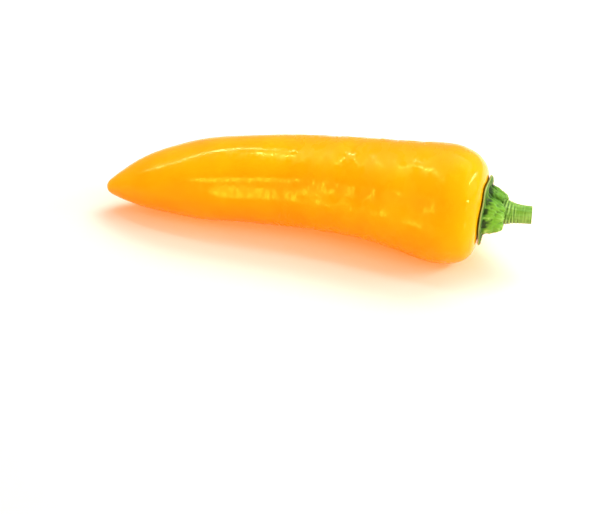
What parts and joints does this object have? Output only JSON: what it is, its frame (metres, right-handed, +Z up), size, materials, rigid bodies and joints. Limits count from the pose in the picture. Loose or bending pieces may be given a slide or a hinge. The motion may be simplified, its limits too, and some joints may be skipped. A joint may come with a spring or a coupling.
{
  "type": "sweet pointed pepper",
  "caption": "Whole ripe yellow-orange sweet pointed pepper lying on its side, with lobed shoulders, a tapered tip, a folded green calyx and a short cut stem.",
  "frame": {"origin": "centre of the whole pepper's bounding box, on the table it lies on", "axes": "+X runs along the pepper from its tip to its stem, +Z is up from the table, and -Y is the side that faces the viewer"},
  "size_m": [0.1848, 0.0508, 0.0462],
  "materials": {
    "skin": "smooth waxy ripe skin, yellow-orange",
    "calyx": "folded leafy green calyx, satin",
    "stem": "ridged green stem with a dry cut end"
  },
  "bodies": {
    "root": {"pepper_body": "skin", "calyx": "calyx", "stem": "stem"}
  },
  "joints": []
}
